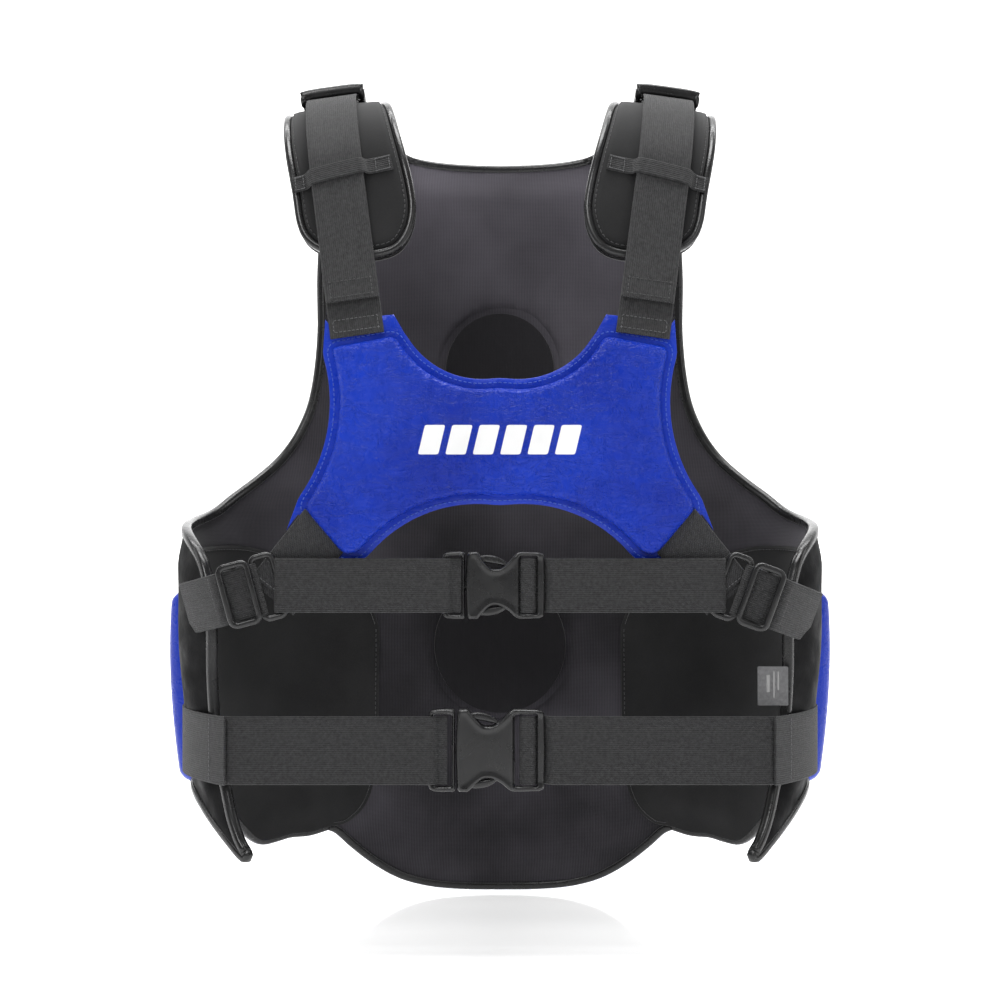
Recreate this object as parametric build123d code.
"""Trainer's chest protector: padded front shell with wings, shoulder pads, back yoke, straps and buckles.

Millimetres. +X is the wearer's right, +Y the way the wearer faces, +Z up.
The origin is the centre of the torso space, level with the bottoms of the armholes.
"left" and "right" are the wearer's: left is -X.
"""
from build123d import *
from math import acos, atan2, cos, degrees, hypot, radians, sin, sqrt, tan
import os

os.makedirs("parts", exist_ok=True)

# ---- clearances ----
layer_gap = 0.3
running_gap = 0.3

# ---- shell, seen in plan as an ellipse open at the back ----
shell_centre_y = -35
space_half_width = 232
space_half_depth = 145
lining_thickness = 2
foam_side_thickness = 9.4
foam_front_thickness = 14.4
cover_thickness = 2
binding_width = 6
front_split_y = 35
wing_split_gap = 1

# ---- shell, seen from the front ----
neck_half_width = 97
neckline_z = 297
shoulder_top_z = 304
shoulder_outer_x = 166
side_bottom_z = -222
hem_z = -310
tail_point_x = 142
tail_point_z = -257
side_reach = 30
wing_rear_inset = 20
wing_tip_drop = 21

# ---- round recesses inside, round targets outside ----
chest_round_z = 125
chest_round_radius = 48
belly_round_z = -105
belly_round_radius = 58
recess_depth = 6
target_extra_radius = 16
target_thickness = 11

# ---- front pad and rib pads ----
main_pad_thickness = 26
main_pad_half_width = 178
pad_cover_thickness = 2
rib_pad_top_z = -48
rib_pad_bottom_z = -211
rib_pad_thickness = 20
rib_pad_rear_y = 12
rib_pad_front_y = 74

# ---- shoulder pads ----
arch_centre_z = 224
arch_inset = 6.93
shoulder_slope = 8
pad_foam_thickness = 9.4
pad_skin_thickness = 2
pad_piping_width = 4
pad_rear_bottom_z = 193
pad_front_angle = 4
front_pad_inner_x = 92
front_pad_outer_x = 160

# ---- webbing ----
webbing_thickness = 1.6
narrow_width = 40
wide_width = 50
shoulder_webbing_x = 115
shoulder_webbing_width = 40
yoke_corner_z = 138.5
webbing_end_z = 133
tail_end_z = 159
tail_fold_length = 9
webbing_front_angle = 25
tail_start_angle = 78
tail_hinge_angle = 168.5
tail_hinge_gap_angle = 0.25
keeper_start_angle = 159
keeper_sweep = 6
keeper_thickness = 1.2
keeper_foot = 9

# ---- shoulder slider ----
slider_width = 50
slider_half_angle = 6.2
slider_bar = 3
slider_ridge = 9.1
cheek_drop = 4
bar_half_angle = 1.6

# ---- yoke ----
yoke_before_straps = 10.3
yoke_flange_thickness = 1.6
yoke_padding = 9
yoke_leather = 1.5
yoke_flange_width = 5.5

# ---- back straps ----
strap_bend_before_edge = 9.4
yoke_tip_z = -23.5
strap_below_yoke = 1.5
upper_strap_z = yoke_tip_z - strap_below_yoke - narrow_width / 2
lower_strap_z = -163
upper_buckle_x = -24
lower_buckle_x = -31
upper_strap_end_x = 158
side_band_front_y = rib_pad_rear_y - 0.5
sewn_end_gap = 0.5

# ---- side hardware ----
ring_centre_x = 166
ring_centre_z = upper_strap_z - 1
ring_inner_width = 12
ring_inner_height = narrow_width + 1
ring_bar = 4
glide_centre_x = 186
glide_end_bar = 3
glide_length = narrow_width + 2 * glide_end_bar
glide_depth = 25
glide_bar = 4
wing_strap_reach = 20
side_tilt = {"left": 15, "right": 20}

# ---- buckles ----
upper_buckle = {"height": narrow_width + 8, "body": 37, "slot": 19, "frame": 18}
lower_buckle = {"height": wide_width + 9, "body": 40, "slot": 23, "frame": 21}
notch_from_mouth = 11
notch_from_slot = 4
notch_depth = 6
notch_rise = 2
buckle_thickness = 11
buckle_wall = 1.8
prong_play = 0.9
prong_thickness = buckle_thickness - 2 * (buckle_wall + prong_play)
prong_arm = 4
prong_reach = 33
prong_clearance = 1.2
prong_head_setback = 1
prong_head_margin = 5
frame_half_thickness = 3
frame_bar = 4.4
plug_tab = 9
socket_tab = 12

# ---- tag ----
tag_width = 22
tag_height = 28
tag_thickness = 1.2
tag_top_z = -104
tag_from_wing_edge = 4.4
tag_inside_cover = 4.9855

written = {}


def save(name, shape):
    """Write one node's STEP file and remember it."""
    written[name] = shape
    export_step(shape, f"parts/{name}.step")


def sides():
    """The two sides as (name, sign of x)."""
    return (("left", -1), ("right", 1))


def from_front(face, y_low, y_high):
    """Stand a face drawn in x, z between two depths."""
    return extrude(Plane.XZ.offset(-y_low) * face, amount=y_high - y_low, dir=(0, 1, 0))


def from_side(face, x_low, x_high):
    """Stand a face drawn in y, z between two widths."""
    return extrude(Plane.YZ.offset(x_low) * face, amount=x_high - x_low)


def from_top(face, z_low, z_high):
    """Stand a face drawn in plan between two heights."""
    return extrude(Pos(0, 0, z_low) * face, amount=z_high - z_low)


def block(x, y, z):
    """A block between two x, two y and two z values, given as pairs."""
    low = Vector(min(x), min(y), min(z))
    high = Vector(max(x), max(y), max(z))
    size = high - low
    return Pos(*((low + high) / 2)) * Box(size.X, size.Y, size.Z)


def mirrored(shape, sign):
    """The shape as made for the right side, or its mirror image for the left."""
    return shape if sign > 0 else mirror(shape, about=Plane.YZ)


def save_pair(name, right_shape):
    """Write one node that holds the right piece and its mirror image on the left."""
    save(name, right_shape + mirrored(right_shape, -1))


# ---------------------------------------------------------------- torso shell
# Each layer is a step outwards from the torso space: (half width, half depth) of its ellipse.
lining_in = (space_half_width, space_half_depth)
lining_out = tuple(r + lining_thickness for r in lining_in)
foam_in = tuple(r + layer_gap for r in lining_out)
foam_out = (foam_in[0] + foam_side_thickness, foam_in[1] + foam_front_thickness)
cover_in = tuple(r + layer_gap for r in foam_out)
cover_out = tuple(r + cover_thickness for r in cover_in)
pad_in = tuple(r + layer_gap for r in cover_out)
band_in = tuple(r + running_gap for r in cover_out)
band_out = tuple(r + webbing_thickness for r in band_in)
shell_top = shoulder_top_z + 20
shell_bottom = hem_z - 20


def wall(inside, outside, z_low=shell_bottom, z_high=shell_top):
    """Elliptical wall between two of the shell's ellipses."""
    ring = Ellipse(*outside) - Ellipse(*inside)
    return from_top(Pos(0, shell_centre_y) * ring, z_low, z_high)


def outer_depth(x, ellipse):
    """How far an ellipse reaches to the front and back of the shell's centre at a given x."""
    return ellipse[1] * sqrt(1 - (x / ellipse[0]) ** 2)


# The rear edge of each wing in the front view, and the plane of the straps that bend round behind it.
wing_rear_x = space_half_width - wing_rear_inset
strap_outer_y = shell_centre_y - outer_depth(wing_rear_x - strap_bend_before_edge, band_out)
yoke_front_y = strap_outer_y + yoke_before_straps
# Where the straps' plane meets the inside of the lower strap's run round the wing.
lower_strap_end_x = outer_depth(strap_outer_y - shell_centre_y, tuple(reversed(band_in))) - sewn_end_gap
arch_radius = shell_centre_y + outer_depth(shoulder_webbing_x, lining_in) - arch_inset
tag_sewn_x = wing_rear_x - tag_from_wing_edge
tag_y = shell_centre_y - outer_depth(tag_sewn_x, cover_out) + tag_inside_cover
side_x = cover_out[0] + side_reach


def mirror_outline(edges):
    """Edges from the top centre to the bottom centre, joined with their mirror images into a face."""
    left = [mirror(e, about=Plane.YZ) for e in edges]
    return make_face(list(edges) + left)


def front_outline(grow=0.0):
    """Neckline, shoulder, armhole, side and hem of the front shell in x, z, moved outwards by a margin."""
    g = grow
    h = 0.7 * grow
    corner = (shoulder_outer_x + g, shoulder_top_z + g)
    neck_end = (neck_half_width - g, shoulder_top_z + g)
    neck = Spline((0, neckline_z + g), (60 - g / 2, neckline_z + 3 + g), neck_end, tangents=((1, 0), (1, 0.6)))
    top = Line(neck_end, corner)
    armhole = Spline(
        corner, (150 + g, 200), (155 + g, 97 + g / 2),
        (space_half_width - 40 + h, 40 + h), (space_half_width + 3 + h, 8 + g), (side_x, g),
        tangents=((-0.3, -1), (1, 0)),
    )
    low_side = (side_x, side_bottom_z - g)
    side = Line((side_x, g), low_side)
    flank_end = (tail_point_x - 2, tail_point_z - g)
    flank = Spline(low_side, (184, tail_point_z - g), flank_end, tangents=((-1, -0.3), (-1, 0)))
    hem = Spline(flank_end, (79 + h, -300 - h), (0, hem_z - g), tangents=((-1, -0.7), (-1, 0)))
    return mirror_outline([neck, top, armhole, side, flank, hem])


def wing_outline(grow=0.0):
    """Top, rear edge and bottom of the right wing behind the armhole in x, z, moved outwards by a margin."""
    g = grow
    h = 0.7 * grow
    x = wing_rear_x
    start = (cover_out[0], g)
    tip = (x - 19 - g, side_bottom_z - wing_tip_drop - g)
    far_top = (side_x, g)
    far_bottom = (side_x, side_bottom_z - g)
    rear = Spline(
        start, (x + 8 - h, h - 19), (x - g, -50), (x + 1 - g, -115), (x - 8 - g, -187), tip,
        tangents=((-1, -0.2), (-0.3, -1)),
    )
    return make_face([Line(far_top, start), rear, Line(tip, far_bottom), Line(far_bottom, far_top)])


behind = cover_out[1] + 60


def shell_tool(grow=0.0):
    """Everything inside the shell's outlines, grown outwards by a margin, as two prisms meeting beside the arms."""
    front_prism = from_front(front_outline(grow), shell_centre_y, behind)
    wing_prism = from_front(wing_outline(grow), -behind - 100, shell_centre_y)
    return front_prism + wing_prism + mirror(wing_prism, about=Plane.YZ)


shell_space = shell_tool()


# The two round recesses, and the targets outside them, as (height, radius of the recess).
rounds = ((chest_round_z, chest_round_radius), (belly_round_z, belly_round_radius))


def side_panel_tool():
    """The region in x, z that the smooth right side lining covers: under the arm, then a band beside the belly."""
    far_top = (side_x, -10)
    far_bottom = (side_x, shell_bottom)
    front_top = (104, -76)
    front_bottom = (104, -170)
    foot = (tail_point_x, tail_point_z - 13)
    top = Spline(far_top, (wing_rear_x - 21, -24), (150, -46), front_top, tangents=((-1, 0), (-0.6, -1)))
    low = Spline(front_bottom, (110, -240), foot, tangents=((0, -1), (1, -0.6)))
    return make_face([top, Line(front_top, front_bottom), low, Line(foot, far_bottom), Line(far_bottom, far_top)])


def make_linings():
    """Knit lining of the chest, smooth side linings, and the discs at the bottom of the two recesses."""
    lining = wall(lining_in, lining_out) & shell_space
    panel = from_front(side_panel_tool(), -behind - 100, behind)
    chest = lining - panel - mirrored(panel, -1)
    disc_in = tuple(r + recess_depth - lining_thickness - layer_gap for r in lining_out)
    disc_out = tuple(r + recess_depth - layer_gap for r in lining_out)
    discs = []
    for z, radius in rounds:
        chest -= from_front(Pos(0, z) * Circle(radius), 0, behind)
        plug = from_front(Pos(0, z) * Circle(radius - layer_gap), 0, behind)
        discs.append(wall(disc_in, disc_out) & plug)
    save("chest_lining", chest)
    save("recess_linings", discs[0] + discs[1])
    save_pair("side_linings", lining & panel)


def make_cores_and_covers():
    """Foam sheets and outer covers: the front, and the two wings that fold on it beside the chest."""
    foam = wall(foam_in, foam_out) & shell_space
    cover = wall(cover_in, cover_out) & shell_space
    recess_in = tuple(r - layer_gap for r in foam_in)
    recess_out = tuple(r + recess_depth for r in lining_out)
    for z, radius in rounds:
        foam -= wall(recess_in, recess_out) & from_front(Pos(0, z) * Circle(radius), 0, behind)
    front_part = block((-400, 400), (front_split_y + wing_split_gap / 2, 400), (-400, 400))
    wing_part = block((0, 400), (-400, front_split_y - wing_split_gap / 2), (-400, 400))
    save("front_foam", foam & front_part)
    save("front_cover", cover & front_part)
    for side, sign in sides():
        save(f"{side}_wing_foam", foam & mirrored(wing_part, sign))
        save(f"{side}_wing_cover", cover & mirrored(wing_part, sign))


def make_bindings():
    """Leather binding along every edge of the shell."""
    band = (wall(lining_in, cover_out) & shell_tool(binding_width / 2)) - shell_tool(layer_gap) - shell_space
    neck = block((-neck_half_width, neck_half_width), (0, 400), (neckline_z - 20, 400))
    hem = block((-tail_point_x, tail_point_x), (0, 400), (-400, -200))
    rear = block((0, wing_rear_x + 3), (-400, shell_centre_y), (side_bottom_z - 23, -30))
    armhole = block((120, 400), (-400, 400), (-28, 260))
    save("neck_binding", band & neck)
    save("hem_binding", band & hem)
    save_pair("armhole_bindings", band & armhole)
    save_pair("rear_bindings", band & rear)


# ---------------------------------------------------------------- front pads
def grown(ellipse, step):
    return tuple(r + step for r in ellipse)


def main_pad_outline():
    """The padded front, drawn in x, z with lines and arcs."""
    w = main_pad_half_width
    neck = ThreePointArc((0, neckline_z - 26), (55, neckline_z - 24), (100, neckline_z - 14))
    arm_line = Polyline((100, neckline_z - 14), (136, neckline_z - 18), (136, 120))
    arm_arc = ThreePointArc((136, 120), (146, 60), (w, 22))
    flank = Polyline((w, 22), (w, -205), (118, -246), (70, -284))
    hem = ThreePointArc((70, -284), (36, -292), (0, -294))
    return mirror_outline([neck, arm_line, arm_arc, flank, hem])


def padded_panel(name, face, y_low, y_high, thickness):
    """A leather cover with a rim, and the foam inside it, laid on the shell's outer face."""
    foam_out_ellipse = grown(pad_in, thickness - pad_cover_thickness - layer_gap)
    cover_in_ellipse = grown(pad_in, thickness - pad_cover_thickness)
    cover_out_ellipse = grown(pad_in, thickness)
    hollow_face = offset(face, amount=-pad_cover_thickness)
    foam_face = offset(face, amount=-pad_cover_thickness - layer_gap)
    full = wall(pad_in, cover_out_ellipse) & from_front(face, y_low, y_high)
    inside = wall(grown(pad_in, -layer_gap), cover_in_ellipse)
    hollow = inside & from_front(hollow_face, y_low + pad_cover_thickness, y_high)
    save(f"{name}_cover", full - hollow)
    low = y_low + pad_cover_thickness + layer_gap
    save(f"{name}_foam", wall(pad_in, foam_out_ellipse) & from_front(foam_face, low, y_high))
    return cover_out_ellipse


def make_front_pads():
    """Main pad with two round targets, and a rib pad on each flank."""
    main_out = padded_panel("main_pad", main_pad_outline(), 0, behind, main_pad_thickness)
    ring = wall(grown(main_out, layer_gap), grown(main_out, layer_gap + target_thickness))
    for name, (z, radius) in zip(("chest", "belly"), rounds):
        disc = from_front(Pos(0, z) * Circle(radius + target_extra_radius), 0, behind + 60)
        save(f"{name}_target", ring & disc)
    height = rib_pad_top_z - rib_pad_bottom_z
    depth = rib_pad_front_y - rib_pad_rear_y
    outline = Pos((rib_pad_front_y + rib_pad_rear_y) / 2, (rib_pad_top_z + rib_pad_bottom_z) / 2)
    face = outline * RectangleRounded(depth, height, 18)
    inset = outline * RectangleRounded(depth - 2 * pad_cover_thickness, height - 2 * pad_cover_thickness, 16)
    foam_size = 2 * (pad_cover_thickness + layer_gap)
    foam_face = outline * RectangleRounded(depth - foam_size, height - foam_size, 15.7)
    outer = grown(pad_in, rib_pad_thickness)
    full = wall(pad_in, outer) & from_side(face, 100, 400)
    inside = wall(grown(pad_in, -layer_gap), grown(outer, -pad_cover_thickness))
    filling = wall(pad_in, grown(outer, -pad_cover_thickness - layer_gap)) & from_side(foam_face, 100, 400)
    cover = full - (inside & from_side(inset, 100, 400))
    save_pair("rib_pad_foams", filling)
    for side, sign in sides():
        save(f"{side}_rib_pad_cover", mirrored(cover, sign))


# ---------------------------------------------------------------- shoulders
# Offsets are measured outwards from the pad's underside.
pad_lining_out = pad_skin_thickness
pad_foam_in = pad_lining_out + layer_gap
pad_foam_out = pad_foam_in + pad_foam_thickness
pad_cover_in = pad_foam_out + layer_gap
pad_cover_out = pad_cover_in + pad_skin_thickness
web_in = pad_cover_out + layer_gap
web_out = web_in + webbing_thickness
bar_in = web_out + running_gap
bar_out = bar_in + slider_bar
tail_in = bar_out + running_gap
tail_out = tail_in + webbing_thickness
yoke_outer_face_y = yoke_front_y - yoke_flange_thickness
web_middle = arch_radius + (web_in + web_out) / 2
# The webbing leaves the arch where its tangent points at the yoke's upper corner.
corner_y = -(yoke_outer_face_y - running_gap - webbing_thickness / 2)
corner_z = arch_centre_z - yoke_corner_z
lean = degrees(acos(web_middle / hypot(corner_y, corner_z))) - degrees(atan2(corner_z, corner_y))


def shoulder_band(inner, outer, start_angle, rear_z):
    """Section of a layer over the shoulder: an arc from a front angle, then a straight run down to a height."""
    leave = 180 - lean
    direction = Vector(-sin(radians(lean)), -cos(radians(lean)))

    def point(offset_out, angle):
        r = arch_radius + offset_out
        return Vector(r * cos(radians(angle)), arch_centre_z + r * sin(radians(angle)))

    def run_end(offset_out):
        start = point(offset_out, leave)
        return start + direction * ((start.Y - rear_z) / cos(radians(lean)))

    sweep = leave - start_angle
    centre = (0, arch_centre_z)
    edges = [
        CenterArc(centre, arch_radius + outer, start_angle, sweep),
        Line(point(outer, leave), run_end(outer)),
        Line(run_end(outer), run_end(inner)),
        Line(run_end(inner), point(inner, leave)),
        CenterArc(centre, arch_radius + inner, start_angle, sweep),
        Line(point(inner, start_angle), point(outer, start_angle)),
    ]
    return make_face(edges)


def arch_sector(inner, outer, start_angle, sweep):
    """Section of a short piece that sits on the arch."""
    centre = (0, arch_centre_z)
    wedge = []
    for offset_out in (inner, outer):
        wedge.append(CenterArc(centre, arch_radius + offset_out, start_angle, sweep))
    ends = [Line(wedge[0] @ t, wedge[1] @ t) for t in (0, 1)]
    return make_face(wedge + ends)


def sloped(shape):
    """Turn a right shoulder piece about a fore-and-aft line, so that the shoulder falls away from the neck."""
    pivot = Pos(shoulder_webbing_x, 0, arch_centre_z)
    return pivot * Rot(0, shoulder_slope, 0) * pivot.inverse() * shape


def shoulder_pad_outline():
    """The right pad's tongue behind the shoulder, drawn in x, z with lines and arcs."""
    outer = ThreePointArc((168, 345), (163, 268), (138, 207))
    tip = ThreePointArc((138, 207), (110, pad_rear_bottom_z), (82, 203))
    inner = ThreePointArc((82, 203), (64, 243), (75, 290))
    return make_face([outer, tip, inner, Polyline((75, 290), (86, 345), (168, 345))])


# Inside the shell's lining: the shoulder pads and webbing end against it.
torso_space = from_top(Pos(0, shell_centre_y) * Ellipse(*grown(lining_in, -layer_gap)), shell_bottom, shell_top + 100)


def make_shoulder_pads():
    """Foam, cover, lining and piping of each shoulder pad."""
    outline = shoulder_pad_outline()
    inset = offset(outline, amount=-pad_piping_width)
    inset_gap = offset(outline, amount=-pad_piping_width - layer_gap)
    rear = -200

    def region(face, shrink):
        back = from_front(face, rear, 0)
        x_range = (front_pad_inner_x + shrink, front_pad_outer_x - shrink)
        front = block(x_range, (0, 200), (0, 400)) & torso_space
        return back + front

    whole = region(outline, 0)
    hollow = region(inset, pad_piping_width)
    filling = region(inset_gap, pad_piping_width + layer_gap)

    def layer(inner, outer, space):
        bottom = pad_rear_bottom_z - 20
        return sloped(from_side(shoulder_band(inner, outer, pad_front_angle, bottom), 0, 250)) & space

    save_pair("shoulder_pad_linings", layer(0, pad_lining_out, filling))
    save_pair("shoulder_pad_foams", layer(pad_foam_in, pad_foam_out, filling))
    save_pair("shoulder_pad_covers", layer(pad_cover_in, pad_cover_out, filling))
    save_pair("shoulder_pad_piping", layer(0, pad_cover_out, whole) - hollow)


def make_shoulder_webbing():
    """Webbing over each pad, its free tail, the keeper loop and the slider."""
    x_low = shoulder_webbing_x - shoulder_webbing_width / 2
    x_high = shoulder_webbing_x + shoulder_webbing_width / 2
    web = sloped(from_side(shoulder_band(web_in, web_out, webbing_front_angle, webbing_end_z), x_low, x_high))
    web = web - (block((0, 400), (0, 400), (0, 400)) - torso_space)
    tail = from_side(shoulder_band(tail_in, tail_out, tail_start_angle, tail_end_z), x_low, x_high)
    fold_in = tail_in - webbing_thickness
    fold = from_side(shoulder_band(fold_in, tail_out, tail_start_angle, tail_end_z), x_low, x_high)
    fold &= block((0, 300), (-300, 0), (0, tail_end_z + tail_fold_length))
    # the free end of the tail turns about its own outer face, where the fixed part stops
    wedge_start = 60
    wedge = (fold_in - 3, tail_out + 3)
    upper_wedge = from_side(arch_sector(*wedge, wedge_start, tail_hinge_angle - wedge_start), 0, 300)
    end_angle = tail_hinge_angle + tail_hinge_gap_angle
    sector_gap = from_side(arch_sector(*wedge, wedge_start, end_angle - wedge_start), 0, 300)
    keeper_in = tail_out + running_gap
    keeper_out = keeper_in + keeper_thickness
    over = arch_sector(keeper_in, keeper_out, keeper_start_angle, keeper_sweep)
    leg = arch_sector(web_in, keeper_out, keeper_start_angle, keeper_sweep)
    foot = arch_sector(web_in, web_in + keeper_thickness, keeper_start_angle, keeper_sweep)
    inner_x = shoulder_webbing_width / 2 + running_gap
    outer_x = inner_x + keeper_thickness
    keeper = from_side(over, shoulder_webbing_x - outer_x, shoulder_webbing_x + outer_x)
    for sign in (-1, 1):
        start = shoulder_webbing_x + sign * inner_x
        leg_x = sorted((start, start + sign * keeper_thickness))
        foot_x = sorted((start, start + sign * keeper_foot))
        keeper += from_side(leg, *leg_x) + from_side(foot, *foot_x)
    slider = make_slider()
    pieces = {"shoulder_tail_end": sloped((tail + fold) - sector_gap), "shoulder_slider": sloped(slider)}
    save_pair("shoulder_webbings", web)
    save_pair("shoulder_tails", sloped(tail & upper_wedge))
    save_pair("shoulder_keepers", sloped(keeper))
    for side, sign in sides():
        for name, shape in pieces.items():
            save(f"{side}_{name}", mirrored(shape, sign))


def make_slider():
    """Plastic slider on top of the shoulder: cheeks, a middle bar under the tail and two ridged bars over it."""
    start = 90 - slider_half_angle
    sweep = 2 * slider_half_angle
    x_low = shoulder_webbing_x - slider_width / 2
    x_high = shoulder_webbing_x + slider_width / 2
    opening = shoulder_webbing_width / 2 + running_gap
    ridge_in = tail_out + running_gap
    ridge_top = ridge_in + slider_ridge
    cheek = arch_sector(bar_in, ridge_top - cheek_drop, start, sweep)
    body = from_side(cheek, x_low, shoulder_webbing_x - opening) + from_side(cheek, shoulder_webbing_x + opening, x_high)
    bar_sweep = 2 * bar_half_angle
    body += from_side(arch_sector(bar_in, bar_out, 90 - bar_half_angle, bar_sweep), x_low, x_high)
    for edge in (start, start + sweep - bar_sweep):
        body += from_side(arch_sector(ridge_in, ridge_top, edge, bar_sweep), x_low, x_high)
    return body


# ---------------------------------------------------------------- yoke
def yoke_outline():
    """Padded H shape of the back yoke, drawn in x, z with lines and arcs."""
    top = ThreePointArc((0, 97), (44, 103), (75, 134))
    corner = Line((75, 134), (123, 125))
    waist = ThreePointArc((123, 125), (116, 72), (141, 11))
    arm = Polyline((141, 11), (112, yoke_tip_z), (102, -22))
    low = ThreePointArc((102, -22), (60, 11), (0, 19))
    return mirror_outline([top, corner, waist, arm, low])


def make_yoke():
    """Leather cover with its flange, foam inside, flat backing behind."""
    padded = yoke_outline()
    flange = offset(padded, amount=yoke_flange_width, kind=Kind.ARC)
    hollow = offset(padded, amount=-yoke_leather)
    filling = offset(padded, amount=-yoke_leather - layer_gap)
    face = yoke_outer_face_y
    pad_face = face - yoke_padding - yoke_leather - layer_gap
    cover = from_front(flange, face, face + 0.8) + from_front(padded, pad_face, face + 0.8)
    cover -= from_front(hollow, pad_face + yoke_leather, face + 1)
    backing = from_front(flange, face + 0.8, yoke_front_y)
    foam = from_front(filling, pad_face + yoke_leather + layer_gap, face + 0.8 - layer_gap)
    save("yoke_cover", cover)
    save("yoke_foam", foam)
    save("yoke_backing", backing)


# ---------------------------------------------------------------- side hardware
def tilted(shape, side, sign, x, z):
    """Turn a piece made upright at the origin by its side's tilt, and put it at x, z on that side."""
    return Pos(sign * x, 0, z) * Rot(0, sign * side_tilt[side], 0) * shape


def strap_centre_z(side, x):
    """Height of the sloping wing strap's middle at a distance x from the centre."""
    return ring_centre_z - (x - ring_centre_x) * tan(radians(side_tilt[side]))


bar_y = strap_outer_y + webbing_thickness + running_gap + ring_bar / 2


def make_ring(side, sign):
    """Rectangular ring, lying in the plane of the straps."""
    outer = RectangleRounded(ring_inner_width + 2 * ring_bar, ring_inner_height + 2 * ring_bar, 4)
    inner = RectangleRounded(ring_inner_width, ring_inner_height, 1)
    ring = from_front(outer - inner, bar_y - ring_bar / 2, bar_y + ring_bar / 2)
    save(f"{side}_ring", tilted(ring, side, sign, ring_centre_x, ring_centre_z))


def make_wing_strap(side, sign):
    """Wing strap from the wing's outer face, over its rear edge, to the ring's outer bar."""
    half = (narrow_width - 2) / 2 / cos(radians(side_tilt[side]))
    ring_bar_x = ring_centre_x + ring_inner_width / 2 + ring_bar / 2
    inner_x = ring_bar_x - ring_bar / 2
    far_x = wing_rear_x + wing_strap_reach
    corners = [
        (inner_x, strap_centre_z(side, inner_x) + half),
        (far_x, strap_centre_z(side, far_x) + half),
        (far_x, strap_centre_z(side, far_x) - half),
        (inner_x, strap_centre_z(side, inner_x) - half),
    ]
    tool = from_front(Polygon(*corners, align=None), -300, 0)
    # the flat run meets the wing's curve where that reaches the plane of the straps
    band_x = band_out[0] * sqrt(1 - ((shell_centre_y - strap_outer_y) / band_out[1]) ** 2)
    band = wall(band_in, band_out) & block((band_x, 400), (-400, shell_centre_y), (-400, 400))
    plate = block((inner_x, band_x + 1), (strap_outer_y, strap_outer_y + webbing_thickness), (-200, 100))
    save(f"{side}_wing_strap", mirrored((band + plate) & tool, sign))


def make_glide(side, sign):
    """Tri-glide: a frame over the strap, its ends reaching round the strap's edges to a middle bar behind it."""
    outer_face = strap_outer_y - running_gap - glide_bar
    inner_face = strap_outer_y + webbing_thickness + running_gap
    opening = glide_length - 2 * glide_end_bar
    frame = RectangleRounded(glide_depth, glide_length, 3) - Rectangle(glide_depth - 2 * glide_bar, opening)
    body = from_front(frame, outer_face, outer_face + glide_bar)
    middle = Rectangle(glide_bar, glide_length)
    body += from_front(middle, inner_face, inner_face + 2)
    ends = Rectangle(glide_bar, glide_length) - Rectangle(glide_bar + 1, opening)
    body += from_front(ends, outer_face, inner_face + 2)
    save(f"{side}_tri_glide", tilted(body, side, sign, glide_centre_x, strap_centre_z(side, glide_centre_x)))


def make_diagonals():
    """Short webbing from the yoke's lower arm to the ring, behind the ring and beside the yoke's backing."""
    y_in = bar_y + ring_bar / 2 + running_gap
    corners = [(142, 8), (115, -24.5), (145, -66), (178, -38)]
    plate = from_front(Polygon(*corners, align=None), y_in, y_in + webbing_thickness)
    save_pair("diagonal_webbings", plate)


# ---------------------------------------------------------------- back straps and buckles
def make_strap_halves(name, z, width, buckle_x, size, left_end, right_end):
    """The two halves of a back strap, up to the plug's loop on the left and round the socket's bar on the right."""
    y = (strap_outer_y, strap_outer_y + webbing_thickness)
    z_range = (z - width / 2, z + width / 2)
    plug_bar_x = buckle_x - size["frame"] + frame_bar / 2
    save(f"{name}_strap_left", block((left_end, plug_bar_x - plug_tab - running_gap), y, z_range))
    socket_bar_x = buckle_x + size["body"] + size["slot"] - frame_bar / 2
    save(f"{name}_strap_right", block((socket_bar_x + socket_tab + running_gap, right_end), y, z_range))


def eye(x, z, width, reach):
    """Webbing loop: a tube round an upright bar, with a short sewn tab on one side."""
    inner = frame_bar / 2 + running_gap
    outer = inner + webbing_thickness
    centre_y = strap_outer_y + webbing_thickness + inner
    ring = Pos(x, centre_y) * (Circle(outer) - Circle(inner))
    loop = from_top(ring, z - width / 2, z + width / 2)
    tab = block((x, x + reach), (strap_outer_y, strap_outer_y + webbing_thickness), (z - width / 2, z + width / 2))
    return loop + tab


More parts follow.
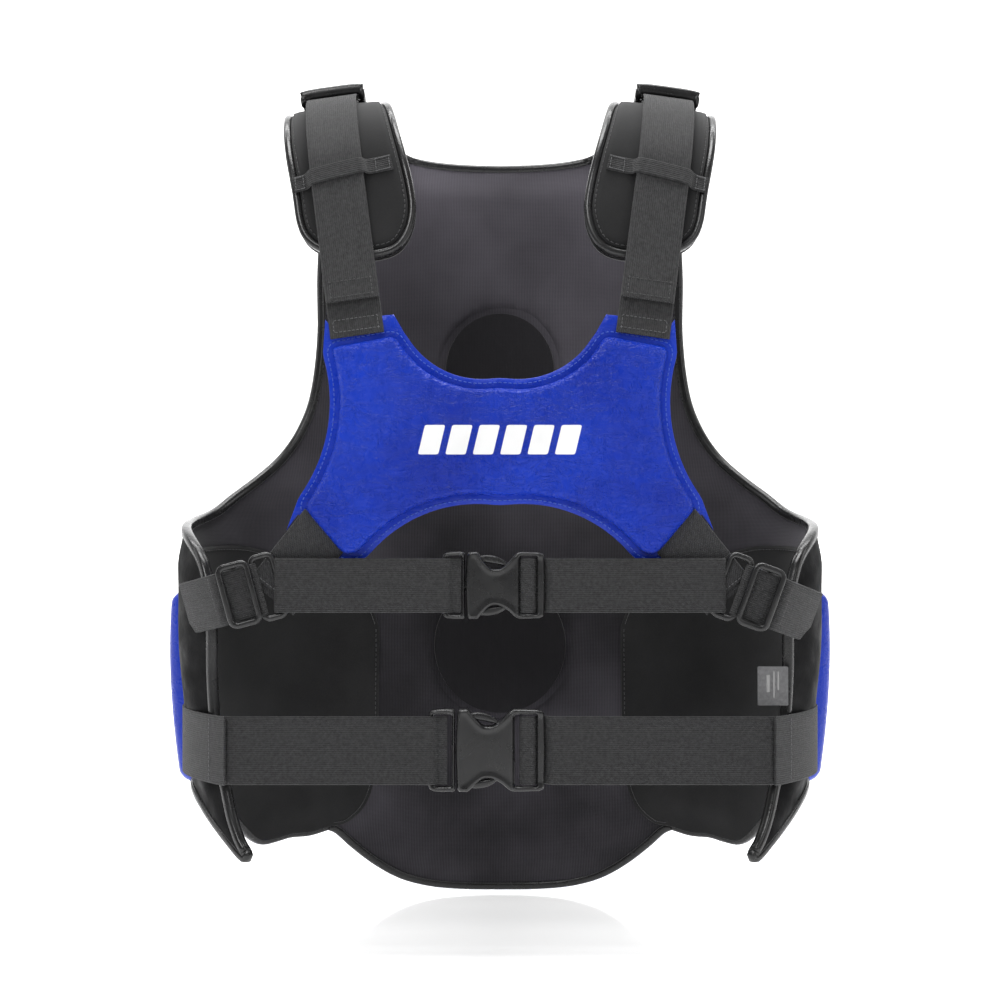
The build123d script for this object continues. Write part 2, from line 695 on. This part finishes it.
def make_buckle(name, x, z, width, size):
    """Side-release buckle: socket half, plug half, two prongs and the loops of webbing round their bars."""
    height = size["height"]
    bar_centre_y = strap_outer_y + webbing_thickness + frame_bar / 2 + running_gap
    y_back = bar_centre_y - buckle_thickness / 2
    y_front = bar_centre_y + buckle_thickness / 2
    half = height / 2
    # socket body with its mouth towards the plug
    body_end = x + size["body"]
    socket = block((x, body_end), (y_back, y_front), (z - half, z + half))
    cavity_end = body_end - 3
    cavity = block(
        (x - 1, cavity_end), (y_back + buckle_wall, y_front - buckle_wall), (z - half + buckle_wall, z + half - buckle_wall)
    )
    socket -= cavity
    notch_start = x + notch_from_mouth
    notch_end = body_end - notch_from_slot
    notch_centre = (notch_start + notch_end) / 2
    notch_radius = (notch_end - notch_start) / 2
    for sign in (-1, 1):
        cutter = Pos(notch_centre, z + sign * (half + notch_rise)) * Ellipse(notch_radius, notch_depth + notch_rise)
        socket -= from_front(cutter, y_back - 1, y_front + 1)
    # webbing slot beyond the body
    frame_y = (bar_centre_y - frame_half_thickness, bar_centre_y + frame_half_thickness)
    frame = block((body_end, body_end + size["slot"]), frame_y, (z - half, z + half))
    opening_z = (z - width / 2 - 1, z + width / 2 + 1)
    frame -= block((body_end + 1, body_end + size["slot"] - frame_bar), (y_back, y_front), opening_z)
    bar_x = body_end + size["slot"] - frame_bar / 2
    frame -= block((bar_x - frame_bar, bar_x + frame_bar), (y_back, y_front), opening_z)
    frame += Pos(bar_x, bar_centre_y, z) * Cylinder(frame_bar / 2, width + 4)
    save(f"{name}_buckle_socket", socket + frame)
    save(f"{name}_socket_loop", eye(bar_x, z, width, socket_tab))
    # plug half: bar, side arms, shoulder plate and a guide tongue
    plug_start = x - size["frame"]
    plug_bar_x = plug_start + frame_bar / 2
    arm_z = width / 2 + 1
    spine_x = (x - 5, x - running_gap)
    plug = block(spine_x, (y_back + 1, y_front - 1), (z - half, z + half))
    for sign in (-1, 1):
        plug += block((plug_bar_x, x - 5), frame_y, (z + sign * arm_z, z + sign * half))
    plug += Pos(plug_bar_x, bar_centre_y, z) * Cylinder(frame_bar / 2, height - 1)
    guide = (bar_centre_y - prong_thickness / 2, bar_centre_y + prong_thickness / 2)
    plug += block((x - 2, x + prong_reach - 8), guide, (z - 3, z + 3))
    save(f"{name}_buckle_plug", plug)
    save(f"{name}_plug_loop", mirror(eye(-plug_bar_x, z, width, plug_tab), about=Plane.YZ))
    for end, sign in (("top", 1), ("bottom", -1)):
        save(f"{name}_{end}_prong", make_prong(x, z, half, sign, guide, notch_start, notch_end))


def make_prong(x, z, half, sign, y_range, notch_start, notch_end):
    """Sprung prong: an arm inside the socket and a head that shows in the finger notch."""
    arm_outer = half - buckle_wall - prong_clearance
    arm_inner = arm_outer - prong_arm
    arm = block((x + running_gap, x + prong_reach), y_range, (z + sign * arm_inner, z + sign * arm_outer))
    head_x = (notch_start + prong_head_margin, notch_end - prong_head_margin)
    head_z = (z + sign * (arm_outer - 1), z + sign * (half - prong_head_setback))
    return arm + block(head_x, y_range, head_z)


def make_side_bands():
    """The lower strap's run round the outside of the wing, from the rib pad to its rear edge."""
    half = wide_width / 2
    band = wall(band_in, band_out, lower_strap_z - half, lower_strap_z + half)
    part = block((lower_strap_end_x + sewn_end_gap, 400), (-400, side_band_front_y), (-400, 400))
    save_pair("lower_side_bands", band & part)


def make_tag():
    """Small folded fabric tag, sewn by one side to the binding of the right wing's rear edge."""
    y = (tag_y, tag_y + tag_thickness)
    save("side_tag", block((tag_sewn_x - tag_width, tag_sewn_x), y, (tag_top_z - tag_height, tag_top_z)))


make_linings()
make_cores_and_covers()
make_bindings()
make_front_pads()
make_shoulder_pads()
make_shoulder_webbing()
make_yoke()
for side_name, side_sign in sides():
    make_ring(side_name, side_sign)
    make_wing_strap(side_name, side_sign)
    make_glide(side_name, side_sign)
for strap_name, strap_z, strap_width, buckle_x, buckle, end_x in (
    ("upper", upper_strap_z, narrow_width, upper_buckle_x, upper_buckle, upper_strap_end_x),
    ("lower", lower_strap_z, wide_width, lower_buckle_x, lower_buckle, lower_strap_end_x),
):
    make_strap_halves(strap_name, strap_z, strap_width, buckle_x, buckle, -end_x, end_x)
    make_buckle(strap_name, buckle_x, strap_z, strap_width, buckle)
make_side_bands()
make_diagonals()
make_tag()
print(len(written), "nodes")
